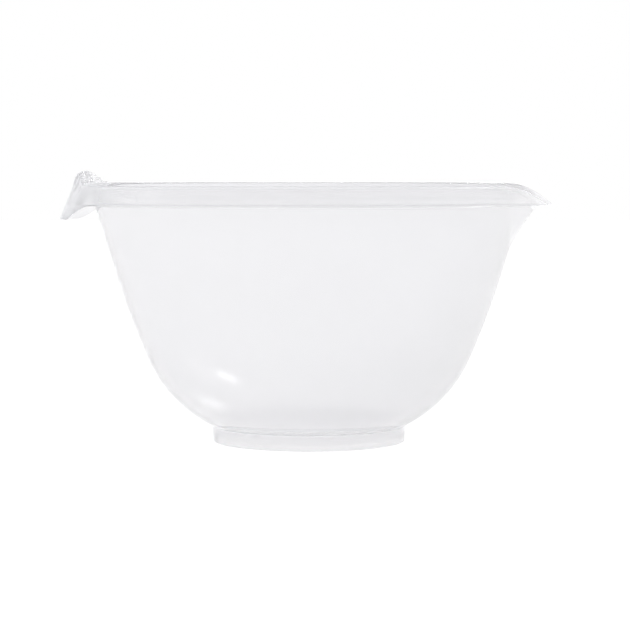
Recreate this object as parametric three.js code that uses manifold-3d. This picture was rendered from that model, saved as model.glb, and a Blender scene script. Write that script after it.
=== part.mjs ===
// Spouted mixing bowl, moulded in translucent plastic.
// Units are millimetres. +Z is up, +X points out of the pouring spout, and the origin lies on the
// bowl's axis in the plane of the table.
//
// The bowl is turned from one section, and the section changes around the rim: it reaches out and
// drops at the spout, and it arches up and flares out at the thumb grip. The turned moulding is then
// divided into its named regions, with a narrow gap between neighbours.
import * as THREE from 'three';
import { mergeVertices } from 'three/addons/utils/BufferGeometryUtils.js';
import Module from 'manifold-3d';

const wasm = await Module();
wasm.setup();

// ---------------------------------------------------------------- driving dimensions

// Rim and the skirt that hangs from it. The lip step is the least height left between the faces of
// the skirt where the spout's tip squeezes it flat.
const RIM_HEIGHT = 129;
const RIM_RADIUS = 113;
const RIM_THICKNESS = 1.9;
const RIM_ROUNDING = 1.4;
const LIP_STEP = 0.15;
const SKIRT_HEIGHT = 11.3;
const SKIRT_THICKNESS = 1.6;

// Side wall: straight near the rim, then a slow bend and a tight bend towards the foot.
// A lean is the wall's angle off vertical, in degrees.
const WALL_THICKNESS = 2;
const WALL_TOP_RADIUS = 109.8;
const WALL_LEAN = 17.1;
const SLOW_BEND_HEIGHT = 81;
const SLOW_BEND_RADIUS = 360;
const TIGHT_BEND_LEAN = 24;
const TIGHT_BEND_RADIUS = 65.5;
const OUTER_FOOT_LEAN = 64.5;
const INNER_CORNER_LEAN = 63;
const INNER_CORNER_RADIUS = 6;
const FLOOR_LEAN = 90;

// Floor and foot
const FLOOR_THICKNESS = 2.5;
const FOOT_RADIUS = 48;
const FOOT_THICKNESS = 2.4;

// Pouring spout, centred on +X
const SPOUT_HALF_ANGLE = 39;
const SPOUT_ROOT_HEIGHT = 97;
const SPOUT_CHANNEL_LEAN = 33.4;
const SPOUT_TIP_RADIUS = 121.1;
const SPOUT_TIP_DROP = 10.2;
const SPOUT_DROP_POWER = 2.1;
const SPOUT_NOSE_ANGLE = 3;

// Thumb grip, centred on -X
const GRIP_HALF_ANGLE = 46;
const GRIP_ROOT_HEIGHT = 108;
const GRIP_FLARE = 9.6;
const GRIP_CREST_REACH = 1.4;
const GRIP_ROUNDING = 2;
const GRIP_ARCH_HALF_ANGLE = 16;
const GRIP_ARCH_HEIGHT = 5.2;
const GRIP_TONGUE_DROP = 7.1;
const GRIP_TONGUE_FULL_ANGLE = 12;
const GRIP_TONGUE_END_ANGLE = 27;

// Traction ribs across the grip
const RIB_COUNT = 9;
const RIB_SPACING = 4.1;
const RIB_WIDTH = 1.6;
const RIB_HEIGHT = 0.7;
const RIB_OUTER_END = 3;
const RIB_CLEARANCE = 0.5;

// Where the moulding is divided, and how finely it is turned
const GAP = 0.3;
const FLOOR_EDGE_RADIUS = 45;
const RIM_BAND_BOTTOM = 114;
const TURNING_STEPS = 96;
const SLOW_BEND_STEPS = 2;
const TIGHT_BEND_STEPS = 7;
const INNER_CORNER_STEPS = 2;
const CREST_STEPS = 3;
const MERGE_TOLERANCE = 1e-4;
const BEYOND = 200;

const plastic = { color: 0xeef1f5, roughness: 0.28, metalness: 0, transparent: true, opacity: 0.45 };

// ---------------------------------------------------------------- small helpers

const radians = THREE.MathUtils.degToRad;
const { clamp, lerp, smoothstep } = THREE.MathUtils;
const point = (radius, height) => new THREE.Vector2(radius, height);

// The direction that faces straight out of a wall with this lean.
const outward = (lean) => point(Math.cos(radians(lean)), -Math.sin(radians(lean)));

// The smallest angle, in degrees, between a direction around the bowl and the one given.
function angleFrom(direction, angle) {
  const turn = Math.abs(angle - direction) % 360;
  return Math.min(turn, 360 - turn);
}

// ---------------------------------------------------------------- side wall

// Points down a bend that begins at `start`, as the wall's lean goes from one angle to another.
function bend(start, radius, fromLean, toLean, steps) {
  const centre = start.clone().addScaledVector(outward(fromLean), -radius);
  return Array.from({ length: steps }, (_, i) => {
    const lean = lerp(fromLean, toLean, (i + 1) / steps);
    return centre.clone().addScaledVector(outward(lean), radius);
  });
}

// Radius of the straight upper wall at a height, `inset` deep inside its outer face.
function straightWallRadius(height, inset) {
  const outerRadius = WALL_TOP_RADIUS - (RIM_HEIGHT - height) * Math.tan(radians(WALL_LEAN));
  return outerRadius - inset / Math.cos(radians(WALL_LEAN));
}

// The bent part of the wall, from the foot of its straight stretch down, on the outer face or
// `inset` deep inside it.
function bentWall(inset, lastLean) {
  const top = point(straightWallRadius(SLOW_BEND_HEIGHT, 0), SLOW_BEND_HEIGHT);
  top.addScaledVector(outward(WALL_LEAN), -inset);
  const slow = bend(top, SLOW_BEND_RADIUS - inset, WALL_LEAN, TIGHT_BEND_LEAN, SLOW_BEND_STEPS);
  const tightRadius = TIGHT_BEND_RADIUS - inset;
  const tight = bend(slow.at(-1), tightRadius, TIGHT_BEND_LEAN, lastLean, TIGHT_BEND_STEPS);
  return [top, ...slow, ...tight];
}

// The small rounded corner between the inner wall and the level floor.
function cornerToFloor(start) {
  return bend(start, INNER_CORNER_RADIUS, INNER_CORNER_LEAN, FLOOR_LEAN, INNER_CORNER_STEPS);
}

const outerWall = bentWall(0, OUTER_FOOT_LEAN);
const innerWall = bentWall(WALL_THICKNESS, INNER_CORNER_LEAN);
const innerCorner = cornerToFloor(innerWall.at(-1));
const FLOOR_TOP = innerCorner.at(-1).y;
const FLOOR_UNDERSIDE = FLOOR_TOP - FLOOR_THICKNESS;

// ---------------------------------------------------------------- spout

// The spout's angle off its centre line, rounded off at the nose so that the beak isn't sharp.
function noseAngle(angle) {
  return Math.hypot(angleFrom(0, angle), SPOUT_NOSE_ANGLE) - SPOUT_NOSE_ANGLE;
}

// Radius of a round wall with a beak: two tangents to the round that meet at the beak's tip.
function beakRadius(roundRadius, tipRadius, angle) {
  const tangentAngle = Math.acos(roundRadius / Math.max(tipRadius, roundRadius));
  return roundRadius / Math.cos(Math.max(0, tangentAngle - radians(noseAngle(angle))));
}

// How far the rim drops towards the spout's tip.
function spoutDrop(angle) {
  const share = clamp(1 - noseAngle(angle) / (SPOUT_HALF_ANGLE - SPOUT_NOSE_ANGLE), 0, 1);
  return SPOUT_TIP_DROP * share ** SPOUT_DROP_POWER;
}

// Radius of the upper wall at a height, with the spout's channel bulging out of it.
function upperWallRadius(angle, height, inset) {
  const rise = Math.max(0, height - SPOUT_ROOT_HEIGHT);
  const channelRadius = straightWallRadius(SPOUT_ROOT_HEIGHT, inset)
    + rise * Math.tan(radians(SPOUT_CHANNEL_LEAN));
  return beakRadius(straightWallRadius(height, inset), channelRadius, angle);
}

// A point on the upper wall, on its outer face or `inset` deep inside it.
function upperWallPoint(angle, height, inset) {
  return point(upperWallRadius(angle, height, inset), height);
}

// ---------------------------------------------------------------- thumb grip

// How far the grip has flared out of the skirt, from 0 at its sides to 1 in the middle.
function gripFlare(angle) {
  const share = clamp(angleFrom(180, angle) / GRIP_HALF_ANGLE, 0, 1);
  return Math.cos(share * Math.PI / 2) ** 2;
}

// The arch that the rim makes over the grip.
function gripArch(angle) {
  const share = angleFrom(180, angle) / GRIP_ARCH_HALF_ANGLE;
  return GRIP_ARCH_HEIGHT * Math.max(0, 1 - share ** 2);
}

// How far the tongue hangs below the skirt's lower edge.
function tongueDrop(angle) {
  const away = smoothstep(angleFrom(180, angle), GRIP_TONGUE_FULL_ANGLE, GRIP_TONGUE_END_ANGLE);
  return GRIP_TONGUE_DROP * (1 - away);
}

// ---------------------------------------------------------------- the section around the rim

// A corner of the section rounded off, with the rounding reaching `size` along both of its sides.
function roundedCorner(before, corner, after, size) {
  const start = corner.clone().add(before.clone().sub(corner).setLength(size));
  const end = corner.clone().add(after.clone().sub(corner).setLength(size));
  return new THREE.QuadraticBezierCurve(start, corner, end).getPoints(CREST_STEPS);
}

// The rim's section at an angle: up the outer wall, under the rim, round the skirt, over the crest
// and down the inner wall.
function rimSection(angle) {
  const crest = RIM_HEIGHT - spoutDrop(angle) + gripArch(angle);
  const flare = gripFlare(angle);
  const rimRadius = beakRadius(RIM_RADIUS, SPOUT_TIP_RADIUS, angle) + GRIP_CREST_REACH * flare;
  const underCrest = crest - RIM_THICKNESS;
  const skirtBottom = RIM_HEIGHT - SKIRT_HEIGHT - tongueDrop(angle);
  const skirtRadius = rimRadius + GRIP_FLARE * flare;
  const skirtEdge = point(skirtRadius, skirtBottom);
  const outerCorner = point(rimRadius, crest);
  const innerCrest = upperWallPoint(angle, crest, WALL_THICKNESS);
  const skirtSpace = (crest - skirtBottom) / 2;
  const outerRounding = Math.min(RIM_ROUNDING + GRIP_ROUNDING * flare, skirtSpace);
  const innerRounding = Math.min(RIM_ROUNDING, skirtSpace);
  const halfway = (top) => (SPOUT_ROOT_HEIGHT + top) / 2;
  const innerRoot = upperWallPoint(angle, SPOUT_ROOT_HEIGHT, WALL_THICKNESS);
  return {
    outer: [
      upperWallPoint(angle, SPOUT_ROOT_HEIGHT, 0),
      upperWallPoint(angle, halfway(underCrest), 0),
      upperWallPoint(angle, underCrest, 0),
    ],
    skirt: [
      point(rimRadius - SKIRT_THICKNESS, Math.max(underCrest, skirtBottom + LIP_STEP)),
      point(skirtRadius - SKIRT_THICKNESS, skirtBottom),
      skirtEdge,
    ],
    crest: [
      ...roundedCorner(skirtEdge, outerCorner, innerCrest, outerRounding),
      ...roundedCorner(outerCorner, innerCrest, innerRoot, innerRounding),
    ],
    inner: [
      upperWallPoint(angle, halfway(crest), WALL_THICKNESS),
      innerRoot,
    ],
  };
}

// The whole moulding's section at an angle, from the axis under the floor round to the axis above it.
function mouldingSection(angle) {
  const rim = rimSection(angle);
  return [
    point(0, FLOOR_UNDERSIDE),
    point(FOOT_RADIUS - FOOT_THICKNESS, FLOOR_UNDERSIDE),
    point(FOOT_RADIUS - FOOT_THICKNESS, 0),
    point(FOOT_RADIUS, 0),
    ...outerWall.toReversed(),
    ...rim.outer,
    ...rim.skirt,
    ...rim.crest,
    ...rim.inner,
    ...innerWall,
    ...innerCorner,
    point(0, FLOOR_TOP),
  ];
}

// ---------------------------------------------------------------- solids

// A closed solid from a three.js geometry, with its shared vertices merged.
function solidFrom(geometry) {
  geometry.deleteAttribute('normal');
  geometry.deleteAttribute('uv');
  const merged = mergeVertices(geometry, MERGE_TOLERANCE);
  const triangles = [];
  for (let i = 0; i < merged.index.count; i += 3) {
    const corners = [0, 1, 2].map((k) => merged.index.getX(i + k));
    if (new Set(corners).size === 3) triangles.push(...corners);
  }
  return new wasm.Manifold(new wasm.Mesh({
    numProp: 3,
    vertProperties: Float32Array.from(merged.attributes.position.array),
    triVerts: Uint32Array.from(triangles),
  }));
}

// A lathe turned about +Z, whose section may change with the angle round from +X.
function turned(sectionAt) {
  const count = sectionAt(0).length;
  const geometry = new THREE.LatheGeometry(sectionAt(0), TURNING_STEPS);
  const position = geometry.attributes.position;
  for (let step = 0; step <= TURNING_STEPS; step += 1) {
    const angle = (step % TURNING_STEPS) * 360 / TURNING_STEPS;
    sectionAt(angle).forEach((at, j) => {
      const x = at.x * Math.cos(radians(angle));
      const y = at.x * Math.sin(radians(angle));
      position.setXYZ(step * count + j, x, y, at.y);
    });
  }
  return solidFrom(geometry);
}

// A round zone between two radii and two heights.
function roundZone(innerRadius, outerRadius, bottom, top) {
  return turned(() => [
    point(innerRadius, bottom),
    point(outerRadius, bottom),
    point(outerRadius, top),
    point(innerRadius, top),
    point(innerRadius, bottom),
  ]);
}

// A wedge-shaped zone that opens from the axis, grown sideways and downwards by `grow`.
function wedgeZone(direction, halfAngle, bottom, grow) {
  const apex = -grow / Math.sin(radians(halfAngle));
  const reach = BEYOND * Math.cos(radians(halfAngle));
  const halfWidth = BEYOND * Math.sin(radians(halfAngle));
  const shape = new THREE.Shape([
    point(apex, 0),
    point(apex + reach, -halfWidth),
    point(apex + reach, halfWidth),
  ]);
  const geometry = new THREE.ExtrudeGeometry(shape, { depth: BEYOND, bevelEnabled: false });
  geometry.translate(0, 0, bottom - grow);
  geometry.rotateZ(radians(direction));
  return solidFrom(geometry);
}

const moulding = turned(mouldingSection);

// ---------------------------------------------------------------- regions of the moulding

const spoutZone = (grow) => wedgeZone(0, SPOUT_HALF_ANGLE, SPOUT_ROOT_HEIGHT, grow);
const gripZone = (grow) => wedgeZone(180, GRIP_HALF_ANGLE, GRIP_ROOT_HEIGHT, grow);

function footRing() {
  return moulding.intersect(roundZone(0, BEYOND, -GAP, FLOOR_UNDERSIDE - GAP));
}

function bowlFloor() {
  return moulding.intersect(roundZone(0, FLOOR_EDGE_RADIUS, FLOOR_UNDERSIDE - GAP / 2, RIM_HEIGHT));
}

function bowlWall() {
  const band = roundZone(FLOOR_EDGE_RADIUS + GAP, BEYOND, FLOOR_UNDERSIDE, RIM_BAND_BOTTOM - GAP);
  return moulding.intersect(band).subtract(spoutZone(GAP)).subtract(gripZone(GAP));
}

// The rim and its skirt on one side of the bowl, between the spout and the grip.
function rimSkirt(side) {
  const geometry = new THREE.BoxGeometry(2 * BEYOND, BEYOND, BEYOND);
  geometry.translate(0, side * BEYOND / 2, RIM_BAND_BOTTOM + BEYOND / 2);
  const half = solidFrom(geometry);
  return moulding.intersect(half).subtract(spoutZone(GAP)).subtract(gripZone(GAP));
}

// ---------------------------------------------------------------- traction ribs

// A rib lies across the rim's crest at the given angle and follows its section, a gap above it.
function gripRib(angle) {
  const { crest, skirt } = rimSection(angle);
  const slope = skirt.at(-1).clone().sub(crest[0]).setLength(RIB_OUTER_END);
  const path = [crest[0].clone().add(slope), ...crest];
  const facing = path.map((_, i) => {
    const before = path[Math.max(i - 1, 0)];
    const after = path[Math.min(i + 1, path.length - 1)];
    const along = after.clone().sub(before).normalize();
    return point(along.y, -along.x);
  });
  const raised = (height) => path.map((at, i) => at.clone().addScaledVector(facing[i], height));
  const outline = [...raised(RIB_CLEARANCE), ...raised(RIB_CLEARANCE + RIB_HEIGHT).reverse()];
  const options = { depth: RIB_WIDTH, bevelEnabled: false };
  const geometry = new THREE.ExtrudeGeometry(new THREE.Shape(outline), options);
  geometry.translate(0, 0, -RIB_WIDTH / 2);
  geometry.rotateX(Math.PI / 2);
  geometry.rotateZ(radians(angle));
  return solidFrom(geometry);
}

// ---------------------------------------------------------------- the assembly

function meshOf(name, solid) {
  const { vertProperties, triVerts } = solid.getMesh();
  const geometry = new THREE.BufferGeometry();
  geometry.setAttribute('position', new THREE.BufferAttribute(vertProperties, 3));
  geometry.setIndex(new THREE.BufferAttribute(triVerts, 1));
  geometry.computeVertexNormals();
  const mesh = new THREE.Mesh(geometry, new THREE.MeshStandardMaterial(plastic));
  mesh.name = name;
  return mesh;
}

const bowl = new THREE.Group();
bowl.name = 'mixing_bowl';
bowl.add(
  meshOf('foot_ring', footRing()),
  meshOf('bowl_floor', bowlFloor()),
  meshOf('bowl_wall', bowlWall()),
  meshOf('rim_skirt_front', rimSkirt(-1)),
  meshOf('rim_skirt_back', rimSkirt(1)),
  meshOf('pouring_spout', moulding.intersect(spoutZone(0))),
  meshOf('thumb_grip', moulding.intersect(gripZone(0))),
);
for (let i = 0; i < RIB_COUNT; i += 1) {
  const angle = 180 + (i - (RIB_COUNT - 1) / 2) * RIB_SPACING;
  bowl.add(meshOf(`grip_rib_${i + 1}`, gripRib(angle)));
}

export default bowl;
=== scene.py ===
"""Looks of the spouted mixing bowl: one moulding in translucent plastic, on a lit white table.

The moulding is one smooth surface. It is turned from an outline that changes around the rim, and then
divided into the named pieces of the frame. Lengths are metres. Angles are degrees: round the bowl they
start at the spout, and a lean is how far a wall tips off the vertical.
"""

import math

import bmesh
import bpy
import numpy as np
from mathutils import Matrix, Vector


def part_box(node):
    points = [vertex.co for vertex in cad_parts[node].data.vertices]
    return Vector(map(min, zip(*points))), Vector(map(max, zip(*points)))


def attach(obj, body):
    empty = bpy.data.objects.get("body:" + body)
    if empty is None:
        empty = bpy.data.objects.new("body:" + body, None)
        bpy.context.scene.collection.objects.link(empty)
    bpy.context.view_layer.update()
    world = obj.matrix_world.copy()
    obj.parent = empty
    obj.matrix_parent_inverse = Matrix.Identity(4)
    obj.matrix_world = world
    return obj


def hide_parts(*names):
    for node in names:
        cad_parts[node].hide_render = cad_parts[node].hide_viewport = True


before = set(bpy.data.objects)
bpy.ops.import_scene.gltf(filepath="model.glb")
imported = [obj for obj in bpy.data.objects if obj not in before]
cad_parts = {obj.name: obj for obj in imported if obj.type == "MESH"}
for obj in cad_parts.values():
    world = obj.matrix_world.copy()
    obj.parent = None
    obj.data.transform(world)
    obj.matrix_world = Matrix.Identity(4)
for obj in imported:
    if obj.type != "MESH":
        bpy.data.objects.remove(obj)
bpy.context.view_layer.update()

# ------------------------------------------------------------------ sizes taken from the frame

rim_low, rim_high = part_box("rim_skirt_front")
spout_low, spout_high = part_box("pouring_spout")
grip_low, grip_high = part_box("thumb_grip")
floor_low, floor_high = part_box("bowl_floor")

RIM_HEIGHT = rim_high.z
RIM_RADIUS = -rim_low.y
RIM_BAND_BOTTOM = rim_low.z
SPOUT_TIP_RADIUS = spout_high.x
SPOUT_ROOT_HEIGHT = spout_low.z
SPOUT_HALF_ANGLE = round(math.degrees(math.asin(spout_high.y / RIM_RADIUS)))
GRIP_TIP_RADIUS = -grip_low.x
GRIP_ROOT_HEIGHT = grip_low.z
GRIP_ARCH_HEIGHT = grip_high.z - RIM_HEIGHT
GRIP_HALF_ANGLE = round(math.degrees(math.asin(grip_high.y / RIM_RADIUS)))
FLOOR_UNDERSIDE = floor_low.z
FLOOR_TOP = floor_high.z
FLOOR_EDGE_RADIUS = floor_high.x

# ------------------------------------------------------------------ sizes of the moulding

MM = 0.001

WALL_THICKNESS = 2.0 * MM
WALL_TOP_RADIUS = 109.8 * MM
WALL_LEAN = 17.1
SLOW_BEND_HEIGHT = 81 * MM
SLOW_BEND_RADIUS = 360 * MM
TIGHT_BEND_LEAN = 24
TIGHT_BEND_RADIUS = 65.5 * MM
OUTER_FOOT_LEAN = 64.5
INNER_CORNER_LEAN = 63
INNER_CORNER_RADIUS = 6 * MM
FLOOR_LEAN = 90

FOOT_RADIUS = 48 * MM
FOOT_THICKNESS = 2.4 * MM
FOOT_CUT = FLOOR_UNDERSIDE - 0.6 * MM
FOOT_FILLET = 0.5 * MM
FOOT_EDGE_ROUNDING = 0.4 * MM

RIM_THICKNESS = 1.9 * MM
RIM_ROUNDING = 1.4 * MM
SKIRT_HEIGHT = 11.3 * MM
SKIRT_THICKNESS = 1.6 * MM
SKIRT_EDGE_ROUNDING = 0.5 * MM
UNDER_RIM_FILLET = 0.9 * MM
LIP_STEP = 0.15 * MM

SPOUT_CHANNEL_LEAN = 33.4
CHANNEL_SPREAD = math.tan(math.radians(SPOUT_CHANNEL_LEAN)) - math.tan(math.radians(WALL_LEAN))
SPOUT_TIP_DROP = 10.2 * MM
SPOUT_DROP_POWER = 2.1
SPOUT_NOSE_ANGLE = 3
SPOUT_LIP_ROUNDING = 3 * MM
SPOUT_ROOT_SOFTNESS = 1.2 * MM

GRIP_CREST_REACH = 1.4 * MM
GRIP_FLARE = GRIP_TIP_RADIUS - RIM_RADIUS - GRIP_CREST_REACH
GRIP_ROUNDING = 2 * MM
GRIP_ARCH_HALF_ANGLE = 16
GRIP_ARCH_SOFTNESS = 0.06
GRIP_TONGUE_DROP = 7.1 * MM
GRIP_TONGUE_FULL_ANGLE = 12
GRIP_TONGUE_END_ANGLE = 27
GRIP_TIP_HEIGHT = RIM_HEIGHT - SKIRT_HEIGHT - GRIP_TONGUE_DROP

RIB_COUNT = 9
RIB_SPACING = 4.1
RIB_WIDTH = 1.7 * MM
RIB_HALF_ANGLE = math.degrees(RIB_WIDTH / 2 / RIM_RADIUS)
RIB_HEIGHT = 0.45 * MM
RIB_END_SLOPE = 1.5 * MM

# ------------------------------------------------------------------ fineness of the mesh

# Steps along the outline
FLOOR_STEPS = 8
FOOT_CORNER_STEPS = 3
FOOT_EDGE_STEPS = 4
SLOW_BEND_STEPS = 8
TIGHT_BEND_STEPS = 26
INNER_CORNER_STEPS = 8
UPPER_WALL_STEPS = 8
BAND_STEPS = 4
RIM_WALL_STEPS = 7
UNDER_RIM_STEPS = 6
SKIRT_INSIDE_STEPS = 6
SKIRT_OUTSIDE_STEPS = 10
SKIRT_EDGE_STEPS = 4
CREST_STEPS = 8

# Steps round the bowl, in degrees
SPOUT_STEP = 0.75
GRIP_STEP = 0.8
ROUND_STEP = 1.5
LESS_THAN_A_STEP = 0.1

# Steps across a rib, and how many rows of the outline it runs down the skirt
RIB_STEPS = 8
RIB_ROWS_DOWN_SKIRT = 1

# The share of each of its sides that a rounded corner may take
LARGEST_ROUNDING = 0.48
SHORTEST_NORMAL = 1e-15

# ------------------------------------------------------------------ haze in the thick parts, and painted light that brightens its colour there, from 0 to 1

GRIP_SOLIDITY = 0.65
LIP_SOLIDITY = 0.4
# The brighter haze colour at the spout and on the ribs is partly the thick plastic's milkiness and partly
# painted light over the dark lines that the light leaves there
SPOUT_PAINTED_LIGHT_MILKINESS = 0.7
RIB_PAINTED_LIGHT_MILKINESS = 0.4

# ------------------------------------------------------------------ outline helpers


def at(radius, height):
    """A point of the outline."""
    return np.array([radius, height], float)


def outward(lean):
    """The direction that faces straight out of a wall with this lean off vertical."""
    return at(math.cos(math.radians(lean)), -math.sin(math.radians(lean)))


def between(start, end, steps):
    """Points, or heights, in even steps from start to end, without the start."""
    return [start + (end - start) * (i + 1) / steps for i in range(steps)]


def bend(start, radius, from_lean, to_lean, steps):
    """Points down a bend, without its start, as the wall's lean goes from one angle to another."""
    centre = start - outward(from_lean) * radius
    leans = [from_lean + (to_lean - from_lean) * (i + 1) / steps for i in range(steps)]
    return [centre + outward(lean) * radius for lean in leans]


def rounded(before, corner, after, size, steps):
    """A corner rounded off over at most `size` along each of its sides."""
    to_before = before - corner
    to_after = after - corner
    before_length = np.linalg.norm(to_before)
    after_length = np.linalg.norm(to_after)
    reach = min(size, LARGEST_ROUNDING * before_length, LARGEST_ROUNDING * after_length)
    start = corner + to_before / before_length * reach
    end = corner + to_after / after_length * reach
    shares = [i / steps for i in range(steps + 1)]
    return [start * (1 - t) ** 2 + corner * 2 * t * (1 - t) + end * t**2 for t in shares]


def clamp(value, low, high):
    return max(low, min(high, value))


def smooth_step(value, low, high):
    """Goes softly from 0 to 1 as the value goes from low to high."""
    share = clamp((value - low) / (high - low), 0, 1)
    return share * share * (3 - 2 * share)


def angle_from(direction, angle):
    """The smallest angle between a direction around the bowl and the one given."""
    turn = abs(angle - direction) % 360
    return min(turn, 360 - turn)


# ------------------------------------------------------------------ side wall


def straight_radius(height, inset):
    """Radius of the straight upper wall, `inset` deep inside its outer face."""
    outer = WALL_TOP_RADIUS - (RIM_HEIGHT - height) * math.tan(math.radians(WALL_LEAN))
    return outer - inset / math.cos(math.radians(WALL_LEAN))


def bent_wall(inset, last_lean):
    """The bent part of the wall, from the foot of its straight stretch down."""
    top = at(straight_radius(SLOW_BEND_HEIGHT, 0), SLOW_BEND_HEIGHT) - outward(WALL_LEAN) * inset
    slow = bend(top, SLOW_BEND_RADIUS - inset, WALL_LEAN, TIGHT_BEND_LEAN, SLOW_BEND_STEPS)
    tight = bend(slow[-1], TIGHT_BEND_RADIUS - inset, TIGHT_BEND_LEAN, last_lean, TIGHT_BEND_STEPS)
    return [top, *slow, *tight]


OUTER_WALL = bent_wall(0, OUTER_FOOT_LEAN)
INNER_WALL = bent_wall(WALL_THICKNESS, INNER_CORNER_LEAN)
INNER_CORNER = bend(
    INNER_WALL[-1], INNER_CORNER_RADIUS, INNER_CORNER_LEAN, FLOOR_LEAN, INNER_CORNER_STEPS)

# ------------------------------------------------------------------ spout and grip


def nose_angle(angle):
    """The angle off the spout's centre line, rounded off at the nose so that the beak isn't sharp."""
    return math.hypot(angle_from(0, angle), SPOUT_NOSE_ANGLE) - SPOUT_NOSE_ANGLE


def beak_radius(round_radius, tip_radius, angle):
    """Radius of a round wall with a beak: two tangents to the round that meet at the beak's tip."""
    tangent_angle = math.acos(round_radius / max(tip_radius, round_radius))
    return round_radius / math.cos(max(0, tangent_angle - math.radians(nose_angle(angle))))


def spout_share(angle):
    """From 0 at the spout's sides to 1 at its tip."""
    return clamp(1 - nose_angle(angle) / (SPOUT_HALF_ANGLE - SPOUT_NOSE_ANGLE), 0, 1)


def upper_wall(angle, height, inset):
    """A point on the upper wall, with the spout's channel bulging out of it."""
    round_radius = straight_radius(height, inset)
    above_root = height - SPOUT_ROOT_HEIGHT
    rise = (above_root + math.hypot(above_root, SPOUT_ROOT_SOFTNESS)) / 2
    return at(beak_radius(round_radius, round_radius + rise * CHANNEL_SPREAD, angle), height)


def grip_flare(angle):
    """From 0 at the grip's sides to 1 in its middle."""
    share = clamp(angle_from(180, angle) / GRIP_HALF_ANGLE, 0, 1)
    return math.cos(share * math.pi / 2) ** 2


def grip_arch(angle):
    """The height of the arch that the rim makes over the grip, with its ends faired in."""
    parabola = 1 - (angle_from(180, angle) / GRIP_ARCH_HALF_ANGLE) ** 2
    faired = (parabola + math.hypot(parabola, GRIP_ARCH_SOFTNESS)) / 2
    return GRIP_ARCH_HEIGHT * faired


def tongue_drop(angle):
    """How far the grip's tongue hangs below the skirt's lower edge."""
    away = smooth_step(angle_from(180, angle), GRIP_TONGUE_FULL_ANGLE, GRIP_TONGUE_END_ANGLE)
    return GRIP_TONGUE_DROP * (1 - away)


# ------------------------------------------------------------------ the whole outline


ROOT_HEIGHTS = between(SLOW_BEND_HEIGHT, SPOUT_ROOT_HEIGHT, UPPER_WALL_STEPS)
GRIP_HEIGHTS = between(SPOUT_ROOT_HEIGHT, GRIP_ROOT_HEIGHT, UPPER_WALL_STEPS)
BAND_HEIGHTS = between(GRIP_ROOT_HEIGHT, RIM_BAND_BOTTOM, BAND_STEPS)


class Outline:
    """Points round a section of the moulding, and the row numbers at which it is divided."""

    def __init__(self, angle):
        self.angle = angle
        self.rows = []
        self.marks = {}

    def add(self, points, mark=None):
        self.rows.extend(points)
        if mark:
            self.marks[mark] = len(self.rows) - 1

    def add_upper_wall(self, heights, inset, mark=None):
        self.add([upper_wall(self.angle, height, inset) for height in heights], mark)


def add_foot(outline):
    """From the axis under the floor to the corner between the foot's outside and the wall."""
    foot_inside = FOOT_RADIUS - FOOT_THICKNESS
    foot_top = OUTER_WALL[-1]
    under_centre = at(0, FLOOR_UNDERSIDE)
    under_edge = at(FLOOR_EDGE_RADIUS, FLOOR_UNDERSIDE)
    under_corner = at(foot_inside, FLOOR_UNDERSIDE)
    inner_edge = at(foot_inside, 0)
    outer_edge = at(FOOT_RADIUS, 0)
    outer_cut = outer_edge + (foot_top - outer_edge) * FOOT_CUT / foot_top[1]
    outline.add([under_centre])
    outline.add(between(under_centre, under_edge, FLOOR_STEPS), "floor_under")
    outline.add(rounded(under_edge, under_corner, inner_edge, FOOT_FILLET, FOOT_CORNER_STEPS))
    outline.add([at(foot_inside, FOOT_CUT)], "foot_inner")
    outline.add(rounded(under_corner, inner_edge, outer_edge, FOOT_EDGE_ROUNDING, FOOT_EDGE_STEPS))
    outline.add(rounded(inner_edge, outer_edge, foot_top, FOOT_EDGE_ROUNDING, FOOT_EDGE_STEPS))
    outline.add([outer_cut], "foot_outer")
    foot_corner = rounded(outer_edge, foot_top, OUTER_WALL[-2], FOOT_FILLET, FOOT_EDGE_STEPS)
    outline.add(foot_corner, "foot_corner")


def add_outside(outline):
    """Up the outside of the wall, to the band under the rim."""
    outline.add(OUTER_WALL[-2::-1])
    outline.add_upper_wall(ROOT_HEIGHTS, 0, "outer_spout_root")
    outline.add_upper_wall(GRIP_HEIGHTS, 0, "outer_grip_root")
    outline.add_upper_wall(BAND_HEIGHTS, 0, "outer_band")


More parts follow.
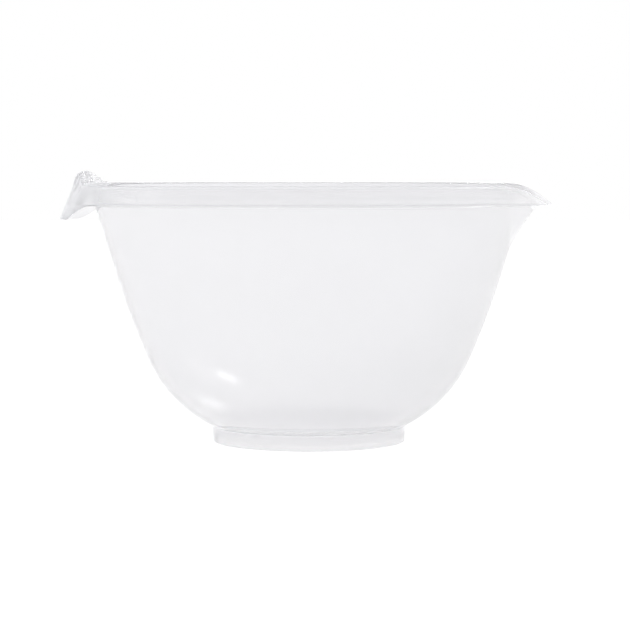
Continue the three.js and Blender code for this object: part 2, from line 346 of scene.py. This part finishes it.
def add_rim(outline):
    """From the band under the rim, round the skirt and over the crest, to the inside of the wall."""
    angle = outline.angle
    crest = RIM_HEIGHT - SPOUT_TIP_DROP * spout_share(angle) ** SPOUT_DROP_POWER + grip_arch(angle)
    flare = grip_flare(angle)
    rim_radius = beak_radius(RIM_RADIUS, SPOUT_TIP_RADIUS, angle) + GRIP_CREST_REACH * flare
    under_crest = crest - RIM_THICKNESS
    skirt_bottom = RIM_HEIGHT - SKIRT_HEIGHT - tongue_drop(angle)
    skirt_radius = rim_radius + GRIP_FLARE * flare

    wall_at_band = upper_wall(angle, RIM_BAND_BOTTOM, 0)
    wall_top = upper_wall(angle, under_crest, 0)
    skirt_top = at(rim_radius - SKIRT_THICKNESS, max(under_crest, skirt_bottom + LIP_STEP))
    skirt_inner = at(skirt_radius - SKIRT_THICKNESS, skirt_bottom)
    skirt_outer = at(skirt_radius, skirt_bottom)
    crest_outer = at(rim_radius, crest)
    crest_inner = upper_wall(angle, crest, WALL_THICKNESS)
    inner_at_band = upper_wall(angle, RIM_BAND_BOTTOM, WALL_THICKNESS)

    lip = SPOUT_LIP_ROUNDING * spout_share(angle) ** 2
    crest_rounding = min(RIM_ROUNDING + GRIP_ROUNDING * flare, (crest - skirt_bottom) / 2)
    wall_corner = rounded(wall_at_band, wall_top, skirt_top, UNDER_RIM_FILLET + lip, UNDER_RIM_STEPS)
    skirt_corner = rounded(wall_top, skirt_top, skirt_inner, UNDER_RIM_FILLET, UNDER_RIM_STEPS)
    inner_edge = rounded(skirt_top, skirt_inner, skirt_outer, SKIRT_EDGE_ROUNDING, SKIRT_EDGE_STEPS)
    outer_edge = rounded(skirt_inner, skirt_outer, crest_outer, SKIRT_EDGE_ROUNDING, SKIRT_EDGE_STEPS)
    outer_crest = rounded(skirt_outer, crest_outer, crest_inner, crest_rounding, CREST_STEPS)
    inner_crest = rounded(crest_outer, crest_inner, inner_at_band, RIM_ROUNDING + lip, CREST_STEPS)

    under_rim_heights = between(RIM_BAND_BOTTOM, wall_corner[0][1], RIM_WALL_STEPS)
    inner_heights = between(inner_crest[-1][1], RIM_BAND_BOTTOM, RIM_WALL_STEPS)
    outline.add_upper_wall(under_rim_heights[:-1], 0)
    outline.add(wall_corner)
    outline.add(skirt_corner, "under_rim")
    outline.add(between(skirt_corner[-1], inner_edge[0], SKIRT_INSIDE_STEPS), "lip_start")
    outline.add(inner_edge[1:])
    outline.add(outer_edge, "lip_end")
    outline.add(between(outer_edge[-1], outer_crest[0], SKIRT_OUTSIDE_STEPS)[:-1], "skirt_top")
    outline.add(outer_crest)
    outline.add(inner_crest, "crest_end")
    outline.add_upper_wall(inner_heights, WALL_THICKNESS, "inner_band")


def add_inside(outline):
    """Down the inside of the wall and over the floor, to the axis."""
    floor_edge = at(FLOOR_EDGE_RADIUS, FLOOR_TOP)
    outline.add_upper_wall([*BAND_HEIGHTS[-2::-1], GRIP_ROOT_HEIGHT], WALL_THICKNESS, "inner_grip_root")
    outline.add_upper_wall([*GRIP_HEIGHTS[-2::-1], SPOUT_ROOT_HEIGHT], WALL_THICKNESS, "inner_spout_root")
    outline.add_upper_wall(ROOT_HEIGHTS[-2::-1], WALL_THICKNESS)
    outline.add(INNER_WALL, "inner_corner")
    outline.add(INNER_CORNER)
    outline.add([floor_edge], "floor_top")
    outline.add(between(floor_edge, at(0, FLOOR_TOP), FLOOR_STEPS))


def section(angle):
    """The moulding's whole outline at an angle round the bowl."""
    outline = Outline(angle)
    add_foot(outline)
    add_outside(outline)
    add_rim(outline)
    add_inside(outline)
    return outline


# ------------------------------------------------------------------ the moulding as a grid of points


def steps_round(start, end, step):
    """Angles from start up to, but not at, end."""
    count = round((end - start) / step)
    return [start + (end - start) * i / count for i in range(count)]


GRIP_START = 180 - GRIP_HALF_ANGLE
GRIP_END = 180 + GRIP_HALF_ANGLE
SPOUT_START = 360 - SPOUT_HALF_ANGLE
FIRST_RIB_CENTRE = 180 - (RIB_COUNT - 1) / 2 * RIB_SPACING
RIB_STARTS = [FIRST_RIB_CENTRE + i * RIB_SPACING - RIB_HALF_ANGLE for i in range(RIB_COUNT)]


def grip_angles():
    """Angles over the grip, with grid lines on both edges of each rib."""
    angles = steps_round(GRIP_START, RIB_STARTS[0], GRIP_STEP)
    for start, next_start in zip(RIB_STARTS, [*RIB_STARTS[1:], GRIP_END]):
        end = start + 2 * RIB_HALF_ANGLE
        angles += steps_round(start, end, 2 * RIB_HALF_ANGLE / RIB_STEPS)
        angles += steps_round(end, next_start, GRIP_STEP)
    return angles


ANGLES = [
    *steps_round(0, SPOUT_HALF_ANGLE, SPOUT_STEP),
    *steps_round(SPOUT_HALF_ANGLE, GRIP_START, ROUND_STEP),
    *grip_angles(),
    *steps_round(GRIP_END, SPOUT_START, ROUND_STEP),
    *steps_round(SPOUT_START, 360, SPOUT_STEP),
]
MARKS = section(0).marks
RIB_FIRST_ROW = MARKS["skirt_top"] - RIB_ROWS_DOWN_SKIRT
RIB_LAST_ROW = MARKS["crest_end"]
RIB_FIRST_STEPS = [ANGLES.index(start) for start in RIB_STARTS]


def placed(radius_and_height, angle):
    """Points of an outline, turned to their angle round the bowl."""
    radius, height = radius_and_height[..., 0], radius_and_height[..., 1]
    turn = math.radians(angle)
    return np.stack([radius * math.cos(turn), radius * math.sin(turn), height], axis=-1)


def grid_normals(points):
    """Outward normals of a grid that closes round its first axis."""
    around = np.roll(points, -1, axis=0) - np.roll(points, 1, axis=0)
    along = np.gradient(points, axis=1)
    normals = np.cross(around, along)
    lengths = np.linalg.norm(normals, axis=-1, keepdims=True)
    normals = normals / np.maximum(lengths, SHORTEST_NORMAL)
    normals[:, 0] = (0, 0, -1)
    normals[:, -1] = (0, 0, 1)
    return normals


CREST = ("skirt_top", "crest_end")
SKIRT_LIP = ("lip_start", "lip_end")
SKIRT = ("under_rim", "crest_end")
FOOT_JOINTS = [
    ("floor_under", "foot_inner"),
    ("foot_outer", "foot_corner"),
    ("inner_corner", "floor_top"),
]


def on(row, *stretches):
    """Whether a row of the outline is on one of the stretches between two marks."""
    return any(MARKS[start] <= row <= MARKS[end] for start, end in stretches)


def solidity(angle, row):
    """How solid the plastic is, from 0 in the thin walls to 1 on the rim's crest and at the foot."""
    if on(row, CREST, *FOOT_JOINTS):
        return 1
    if on(row, SKIRT_LIP):
        return LIP_SOLIDITY
    return GRIP_SOLIDITY * grip_flare(angle) if on(row, SKIRT) else 0


def painted_light_milkiness(angle, row, height):
    """How far the haze's colour goes over to its brighter tint, most where the plastic is thickest:
    partly its milkiness, partly painted light that lifts the dark lines the light leaves at the foot, on
    the grip and in the spout.
    """
    if on(row, *FOOT_JOINTS):
        return 1
    if not on(row, SKIRT):
        return 0
    on_tongue = smooth_step(height, GRIP_TIP_HEIGHT, RIM_HEIGHT - SKIRT_HEIGHT)
    return max(grip_flare(angle) * on_tongue, SPOUT_PAINTED_LIGHT_MILKINESS * spout_share(angle))


POINTS = np.stack([placed(np.array(section(angle).rows), angle) for angle in ANGLES])
NORMALS = grid_normals(POINTS)

# ------------------------------------------------------------------ dividing it into pieces


def sector(step):
    """Which part of the rim the grid's step belongs to."""
    inside_step = ANGLES[step] + LESS_THAN_A_STEP
    if inside_step < SPOUT_HALF_ANGLE or inside_step > SPOUT_START:
        return "pouring_spout"
    if GRIP_START < inside_step < GRIP_END:
        return "thumb_grip"
    return "rim_skirt_back" if inside_step < 180 else "rim_skirt_front"


CUT_ROWS = {
    "pouring_spout": ("outer_spout_root", "inner_spout_root"),
    "thumb_grip": ("outer_grip_root", "inner_grip_root"),
    "rim_skirt_back": ("outer_band", "inner_band"),
    "rim_skirt_front": ("outer_band", "inner_band"),
}


def piece_at(step, row):
    """The piece that the grid's face between this step and row and the next ones belongs to."""
    if row < MARKS["floor_under"] or row >= MARKS["floor_top"]:
        return "bowl_floor"
    if MARKS["foot_inner"] <= row < MARKS["foot_outer"]:
        return "foot_ring"
    outer_cut, inner_cut = CUT_ROWS[sector(step)]
    if MARKS[outer_cut] <= row < MARKS[inner_cut]:
        return sector(step)
    return "bowl_wall"


def under_rib(step, row):
    """Whether a rib stands on the grid's face between this step and row and the next ones."""
    across_a_rib = any(first <= step < first + RIB_STEPS for first in RIB_FIRST_STEPS)
    return across_a_rib and RIB_FIRST_ROW <= row < RIB_LAST_ROW


def joint_rows(piece, step):
    """Pairs of rows that a joint face spans inside the plastic, at this step of the grid."""
    floor_joint = ("floor_under", "floor_top")
    foot_joint = ("foot_inner", "foot_outer")
    if piece == "bowl_floor":
        return [floor_joint]
    if piece == "foot_ring":
        return [foot_joint]
    if piece == "bowl_wall":
        return [floor_joint, foot_joint, CUT_ROWS[sector(step)]]
    return [CUT_ROWS[piece]] if sector(step) == piece else []


SHELL_SLOT = 0
JOINT_SLOT = 1


def add_share(mesh, name):
    """Gives the mesh the piece's share of the moulding's surface, and the faces across its joints.

    Returns its vertices with the step and row of the grid that each is at."""
    made = {}
    steps = len(ANGLES)
    last_row = POINTS.shape[1] - 1

    def vertex(step, row):
        key = (0, row) if row in (0, last_row) else (step % steps, row)
        if key not in made:
            made[key] = mesh.verts.new(POINTS[key])
        return made[key]

    def face(step, first_row, second_row, slot):
        corners = [vertex(step, first_row), vertex(step + 1, first_row),
                   vertex(step + 1, second_row), vertex(step, second_row)]
        new = mesh.faces.new(list(dict.fromkeys(corners)))
        new.material_index = slot
        new.smooth = slot == SHELL_SLOT

    for step in range(steps):
        for row in range(last_row):
            if piece_at(step, row) == name:
                face(step, row, row + 1, JOINT_SLOT if under_rib(step, row) else SHELL_SLOT)
        for first_mark, second_mark in joint_rows(name, step):
            face(step, MARKS[first_mark], MARKS[second_mark], JOINT_SLOT)
    return {made_vertex: key for key, made_vertex in made.items()}


def close_sides(mesh):
    """Closes the sides of a sector, which are inside the plastic as well."""
    mesh.verts.ensure_lookup_table()
    open_edges = [edge for edge in mesh.edges if edge.is_boundary]
    if open_edges:
        for side in bmesh.ops.holes_fill(mesh, edges=open_edges, sides=0)["faces"]:
            side.material_index = JOINT_SLOT
            side.smooth = False


def build_piece(name):
    """A closed mesh of one piece of the moulding."""
    mesh = bmesh.new()
    grid_places = add_share(mesh, name)
    close_sides(mesh)
    bmesh.ops.recalc_face_normals(mesh, faces=mesh.faces)

    mesh.verts.index_update()
    normals, solidities, painted_light_milk_shares = [], [], []
    for vertex in mesh.verts:
        step, row = grid_places[vertex]
        normals.append(tuple(NORMALS[step, row]))
        solidities.append(solidity(ANGLES[step], row))
        # The haze's brighter tint at this vertex: partly milkiness, partly painted light
        painted_light_milk_shares.append(painted_light_milkiness(ANGLES[step], row, vertex.co.z))
    piece = linked(name, mesh, solidities, painted_light_milk_shares)
    piece.data.normals_split_custom_set_from_vertices(normals)
    return piece


def linked(name, mesh, solidities, painted_light_milk_shares):
    """A Blender object in the scene, made from the mesh, with the plastic's depth at each vertex, and how
    much painted light brightens its haze there.
    """
    data = bpy.data.meshes.new(name)
    mesh.to_mesh(data)
    mesh.free()
    data.attributes.new("solidity", "FLOAT", "POINT").data.foreach_set("value", solidities)
    data.attributes.new("painted_light_milkiness", "FLOAT", "POINT").data.foreach_set("value", painted_light_milk_shares)
    piece = bpy.data.objects.new(name + "_look", data)
    bpy.context.scene.collection.objects.link(piece)
    return piece


def rib_heights(middle_line):
    """How far a rib rises off the surface, over its width and along the line it follows."""
    lengths = np.linalg.norm(np.diff(middle_line, axis=0), axis=1)
    distances = np.concatenate([[0], np.cumsum(lengths)])
    from_end = np.minimum(distances, distances[-1] - distances)
    along = np.sqrt(np.clip(from_end / RIB_END_SLOPE, 0, 1))
    across = np.sin(np.linspace(0, math.pi, RIB_STEPS + 1))
    return RIB_HEIGHT * np.outer(across, along)[..., None]


def build_rib(number):
    """A rounded rib across the grip's crest, closed underneath by the surface it stands on."""
    first_step = RIB_FIRST_STEPS[number - 1]
    area = (slice(first_step, first_step + RIB_STEPS + 1), slice(RIB_FIRST_ROW, RIB_LAST_ROW + 1))
    ground_points, directions = POINTS[area], NORMALS[area]
    raised_points = ground_points + directions * rib_heights(ground_points[RIB_STEPS // 2])
    last_step, last_row = RIB_STEPS, RIB_LAST_ROW - RIB_FIRST_ROW

    mesh = bmesh.new()
    ground, raised = {}, {}
    for step in range(last_step + 1):
        for row in range(last_row + 1):
            key = (step, row)
            on_edge = step in (0, last_step) or row in (0, last_row)
            ground[key] = mesh.verts.new(ground_points[key])
            raised[key] = ground[key] if on_edge else mesh.verts.new(raised_points[key])
    for step in range(last_step):
        for row in range(last_row):
            corners = [(step, row), (step + 1, row), (step + 1, row + 1), (step, row + 1)]
            upper = mesh.faces.new([raised[corner] for corner in corners])
            upper.material_index = SHELL_SLOT
            upper.smooth = True
            lower = mesh.faces.new([ground[corner] for corner in reversed(corners)])
            lower.material_index = JOINT_SLOT
    count = len(mesh.verts)
    # The rib's haze gets the brighter tint: partly milkiness, partly painted light over its dark lines
    return linked(f"grip_rib_{number}", mesh, [1] * count, [RIB_PAINTED_LIGHT_MILKINESS] * count)


# ------------------------------------------------------------------ materials


WHITE = (1, 1, 1, 1)
PLASTIC_TINT = (0.993, 0.992, 0.996, 1)
PLASTIC_IOR = 1.49

# Haze: how much light it scatters at each surface, and how bright it is
CLOUD_SIZE = 45 * MM
CLOUDINESS_LOW = 0.41
CLOUDINESS_HIGH = 0.44
THIN_CLOUDINESS = 0.35
SOLID_CLOUDINESS = 2.0
THINNING_HEIGHTS = (116.8 * MM, 118.2 * MM)
CLOUD_TINT = (0.805, 0.802, 0.823, 1)
# Brighter haze colour where the plastic is thick: partly its milkiness, partly painted light over the
# dark lines that the light leaves at the foot, grip and spout
MILKY_PAINTED_LIGHT_TINT = (0.93, 0.927, 0.942, 1)

# Skin
POLISH_SIZE = 20 * MM
ROUGHNESS_LOW = 0.08
ROUGHNESS_HIGH = 0.12
RIPPLE_SIZE = 1.2 * MM
RIPPLE_HEIGHT = 0.0003 * MM

# The part of a noise's range that it is mostly in
NOISE_REACH = (0.3, 0.7)


def new_material(name):
    """An empty material, with its nodes and their links."""
    material = bpy.data.materials.new(name)
    material.use_nodes = True
    material.node_tree.nodes.clear()
    return material, material.node_tree.nodes, material.node_tree.links


def noise(nodes, links, place, size, detail):
    """A cloud of noise in the object's own space, with features of about the given size."""
    texture = nodes.new("ShaderNodeTexNoise")
    texture.inputs["Scale"].default_value = 1 / size
    texture.inputs["Detail"].default_value = detail
    links.new(place.outputs["Object"], texture.inputs["Vector"])
    return texture.outputs["Fac"]


def ramp(nodes, links, source, reach, values, softly=False):
    """Goes from one value to another as the source goes over its reach, and stays there beyond it."""
    change = nodes.new("ShaderNodeMapRange")
    if softly:
        change.interpolation_type = "SMOOTHSTEP"
    change.inputs["From Min"].default_value = reach[0]
    change.inputs["From Max"].default_value = reach[1]
    change.inputs["To Min"].default_value = values[0]
    change.inputs["To Max"].default_value = values[1]
    links.new(source, change.inputs["Value"])
    return change.outputs["Result"]


def axis(nodes, links, vector, name):
    """One of a vector's three numbers."""
    axes = nodes.new("ShaderNodeSeparateXYZ")
    links.new(vector, axes.inputs["Vector"])
    return axes.outputs[name]


def maths(nodes, links, operation, first, second):
    """The result of an operation on two values from other nodes."""
    node = nodes.new("ShaderNodeMath")
    node.operation = operation
    links.new(first, node.inputs[0])
    links.new(second, node.inputs[1])
    return node.outputs[0]


def carried(nodes, name):
    """A value that the mesh carries at each of its vertices."""
    attribute = nodes.new("ShaderNodeAttribute")
    attribute.attribute_name = name
    return attribute.outputs["Fac"]


def mixed_colour(nodes, links, share, first, second):
    """The first colour, going over to the second as the share goes from 0 to 1."""
    mix = nodes.new("ShaderNodeMix")
    mix.data_type = "RGBA"
    mix.inputs["A"].default_value = first
    mix.inputs["B"].default_value = second
    links.new(share, mix.inputs["Factor"])
    return mix.outputs["Result"]


def mixed_shader(nodes, links, share, first, second):
    """The first shader, going over to the second as the share goes from 0 to 1."""
    mix = nodes.new("ShaderNodeMixShader")
    links.new(share, mix.inputs["Fac"])
    links.new(first, mix.inputs[1])
    links.new(second, mix.inputs[2])
    return mix.outputs[0]


def clear_plastic(nodes, links, place):
    """The plastic without its haze. Its mould's polish varies, and leaves a fine satin ripple."""
    clear = nodes.new("ShaderNodeBsdfPrincipled")
    clear.inputs["Base Color"].default_value = PLASTIC_TINT
    clear.inputs["IOR"].default_value = PLASTIC_IOR
    clear.inputs["Transmission Weight"].default_value = 1
    polish = noise(nodes, links, place, POLISH_SIZE, detail=3)
    roughness = ramp(nodes, links, polish, NOISE_REACH, (ROUGHNESS_LOW, ROUGHNESS_HIGH))
    links.new(roughness, clear.inputs["Roughness"])
    bump = nodes.new("ShaderNodeBump")
    bump.inputs["Strength"].default_value = 1
    bump.inputs["Distance"].default_value = RIPPLE_HEIGHT
    links.new(noise(nodes, links, place, RIPPLE_SIZE, detail=2), bump.inputs["Height"])
    links.new(bump.outputs["Normal"], clear.inputs["Normal"])
    return clear.outputs[0]


def haze(nodes, links):
    """The light that the plastic scatters, in a brighter tint where the plastic is thick: partly its
    milkiness, partly painted light over the dark lines at the foot, grip and spout.
    """
    scattered = nodes.new("ShaderNodeBsdfTranslucent")
    tint = mixed_colour(nodes, links, carried(nodes, "painted_light_milkiness"), CLOUD_TINT, MILKY_PAINTED_LIGHT_TINT)
    links.new(tint, scattered.inputs["Color"])
    return scattered.outputs[0]


def haze_share(nodes, links, place):
    """How much of the light is scattered, in cloudy and clearer patches left by the melt's flow.

    There is less of it in the thin walls under the rim, and more where the plastic is solid."""
    cloud = noise(nodes, links, place, CLOUD_SIZE, detail=4)
    cloudiness = ramp(nodes, links, cloud, NOISE_REACH, (CLOUDINESS_LOW, CLOUDINESS_HIGH))
    height = axis(nodes, links, place.outputs["Object"], "Z")
    thinning = ramp(nodes, links, height, THINNING_HEIGHTS, (1, THIN_CLOUDINESS), softly=True)
    depth = nodes.new("ShaderNodeMix")
    depth.inputs["B"].default_value = SOLID_CLOUDINESS
    links.new(carried(nodes, "solidity"), depth.inputs["Factor"])
    links.new(thinning, depth.inputs["A"])
    return maths(nodes, links, "MULTIPLY", cloudiness, depth.outputs["Result"])


def natural_plastic():
    """Unpigmented plastic: clear, with a haze that scatters light once, as it leaves each wall."""
    material, nodes, links = new_material("natural_plastic")
    output = nodes.new("ShaderNodeOutputMaterial")
    place = nodes.new("ShaderNodeTexCoord")
    leaving = nodes.new("ShaderNodeNewGeometry").outputs["Backfacing"]
    scattered = maths(nodes, links, "MULTIPLY", haze_share(nodes, links, place), leaving)
    clear = clear_plastic(nodes, links, place)
    plastic = mixed_shader(nodes, links, scattered, clear, haze(nodes, links))
    links.new(plastic, output.inputs["Surface"])
    return material


def joint_material():
    """The faces where neighbouring pieces of the moulding run into each other: nothing to see."""
    material, nodes, links = new_material("inside_the_plastic")
    output = nodes.new("ShaderNodeOutputMaterial")
    clear = nodes.new("ShaderNodeBsdfTransparent")
    links.new(clear.outputs[0], output.inputs["Surface"])
    return material


def lit_table():
    """A white acrylic table lit from below, whose grey skin shows a faint shade under the bowl."""
    material, nodes, links = new_material("lit_table")
    output = nodes.new("ShaderNodeOutputMaterial")
    glow = nodes.new("ShaderNodeEmission")
    glow.inputs["Color"].default_value = WHITE
    glow.inputs["Strength"].default_value = TABLE_GLOW
    skin = nodes.new("ShaderNodeBsdfDiffuse")
    skin.inputs["Color"].default_value = TABLE_SKIN
    both = nodes.new("ShaderNodeAddShader")
    links.new(glow.outputs[0], both.inputs[0])
    links.new(skin.outputs[0], both.inputs[1])
    links.new(both.outputs[0], output.inputs["Surface"])
    return material


PLASTIC = natural_plastic()
INSIDE = joint_material()

# ------------------------------------------------------------------ pieces of the bowl


def dress(piece, node):
    """Gives a piece its materials, fixes it to the bowl's root body, and hides the part of the frame that
    it stands in for.
    """
    piece.data.materials.append(PLASTIC)
    piece.data.materials.append(INSIDE)
    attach(piece, "root")
    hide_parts(node)


MOULDED = ["foot_ring", "bowl_floor", "bowl_wall", "rim_skirt_front", "rim_skirt_back",
           "pouring_spout", "thumb_grip"]
for node_name in MOULDED:
    dress(build_piece(node_name), node_name)
for rib_number in range(1, RIB_COUNT + 1):
    dress(build_rib(rib_number), f"grip_rib_{rib_number}")

# ------------------------------------------------------------------ table, light and camera

TABLE_HALF_WIDTH = 6.0
TABLE_HEIGHT = -0.2 * MM
TABLE_GLOW = 0.96
TABLE_SKIN = (0.12, 0.12, 0.12, 1)

CAMERA_DISTANCE = 1.042
CAMERA_SIDE = 0.003
CAMERA_AIM_HEIGHT = 0.0627
CAMERA_LENS = 119.1
SENSOR_WIDTH = 36

# The studio around the bowl, in shares of the white background's light
HORIZON_LIGHT = 1.0
CEILING_LIGHT = 0.90
ROOM_SHADE = 0.75
HORIZON_TO_CEILING = (0.05, 0.8)
ROOM_TO_BACK = (-1, 0.2)
LEFT_TINT = (0.96, 0.975, 1, 1)
RIGHT_TINT = (0.99, 0.985, 0.98, 1)

# Lamps up to the right and behind, which the lower wall mirrors to the camera: where each one hangs,
# where on the bowl it points, its width and height, and its power in watts
LAMPS = {
    "main_lamp": ((0.666, 0.293, 0.9615), (-0.042, 0.053, 0.0255), (0.05, 0.22), 1.05),
    "second_lamp": ((0.322, 1.005, 0.5965), (-0.050, 0.0245, 0.0145), (0.05, 0.18), 0.8),
    "soft_lamp": ((0.80, 0.50, 0.74), (-0.058, 0.045, 0.035), (0.45, 0.45), 0.95),
}

LIGHT_BOUNCES = 48
MIRROR_BOUNCES = 32


def aim(thing, target):
    """Points a camera or light at a place."""
    direction = Vector(target) - thing.location
    thing.rotation_mode = "QUATERNION"
    thing.rotation_quaternion = direction.to_track_quat("-Z", "Y")


def make_table():
    """A wide table, a hair below the bowl's foot."""
    mesh = bmesh.new()
    corners = [(-1, -1), (1, -1), (1, 1), (-1, 1)]
    mesh.faces.new([mesh.verts.new((x * TABLE_HALF_WIDTH, y * TABLE_HALF_WIDTH, TABLE_HEIGHT))
                    for x, y in corners])
    data = bpy.data.meshes.new("table")
    mesh.to_mesh(data)
    mesh.free()
    data.materials.append(lit_table())
    table = bpy.data.objects.new("table", data)
    bpy.context.scene.collection.objects.link(table)


def make_lamp(name, place, target, size, watts):
    """A flat lamp that lights the bowl but can't be seen itself, except as a reflection."""
    light = bpy.data.lights.new(name, "AREA")
    light.shape = "RECTANGLE"
    light.size, light.size_y = size
    light.energy = watts
    lamp = bpy.data.objects.new(name, light)
    bpy.context.scene.collection.objects.link(lamp)
    lamp.location = place
    lamp.visible_camera = False
    aim(lamp, target)


def studio_light(nodes, links):
    """Pale all round at table height, a little darker towards the ceiling and on the near side."""
    place = nodes.new("ShaderNodeTexCoord").outputs["Generated"]
    up = axis(nodes, links, place, "Z")
    back = axis(nodes, links, place, "Y")
    right = axis(nodes, links, place, "X")
    height = ramp(nodes, links, up, HORIZON_TO_CEILING, (HORIZON_LIGHT, CEILING_LIGHT), softly=True)
    depth = ramp(nodes, links, back, ROOM_TO_BACK, (ROOM_SHADE, 1), softly=True)
    side = ramp(nodes, links, right, (-1, 1), (0, 1), softly=True)
    studio = nodes.new("ShaderNodeBackground")
    links.new(mixed_colour(nodes, links, side, LEFT_TINT, RIGHT_TINT), studio.inputs["Color"])
    links.new(maths(nodes, links, "MULTIPLY", height, depth), studio.inputs["Strength"])
    return studio.outputs[0]


def mirrored_share(nodes, links):
    """1 for light that was mirrored on its way, or thrown back by the table's skin, and otherwise 0."""
    ray = nodes.new("ShaderNodeLightPath")
    turns = maths(nodes, links, "ADD", ray.outputs["Glossy Depth"], ray.outputs["Diffuse Depth"])
    return ramp(nodes, links, turns, (0, 1), (0, 1))


def make_world():
    """A white background, and a dimmer studio around it for whatever the bowl mirrors."""
    world = bpy.data.worlds.new("studio")
    bpy.context.scene.world = world
    world.use_nodes = True
    nodes, links = world.node_tree.nodes, world.node_tree.links
    nodes.clear()
    output = nodes.new("ShaderNodeOutputWorld")
    background = nodes.new("ShaderNodeBackground")
    background.inputs["Color"].default_value = WHITE
    studio = studio_light(nodes, links)
    light = mixed_shader(nodes, links, mirrored_share(nodes, links), background.outputs[0], studio)
    links.new(light, output.inputs["Surface"])


def make_camera():
    """The camera, level with the rim."""
    camera = bpy.data.objects.new("camera", bpy.data.cameras.new("camera"))
    bpy.context.scene.collection.objects.link(camera)
    camera.data.lens = CAMERA_LENS
    camera.data.sensor_width = SENSOR_WIDTH
    camera.location = (CAMERA_SIDE, -CAMERA_DISTANCE, RIM_HEIGHT)
    aim(camera, (CAMERA_SIDE, 0, CAMERA_AIM_HEIGHT))
    bpy.context.scene.camera = camera


make_table()
make_world()
make_camera()
for lamp_name, lamp_facts in LAMPS.items():
    make_lamp(lamp_name, *lamp_facts)

scene = bpy.context.scene
scene.view_settings.view_transform = "Standard"
scene.cycles.max_bounces = LIGHT_BOUNCES
scene.cycles.transmission_bounces = LIGHT_BOUNCES
scene.cycles.transparent_max_bounces = LIGHT_BOUNCES
scene.cycles.glossy_bounces = MIRROR_BOUNCES
scene.cycles.use_denoising = True
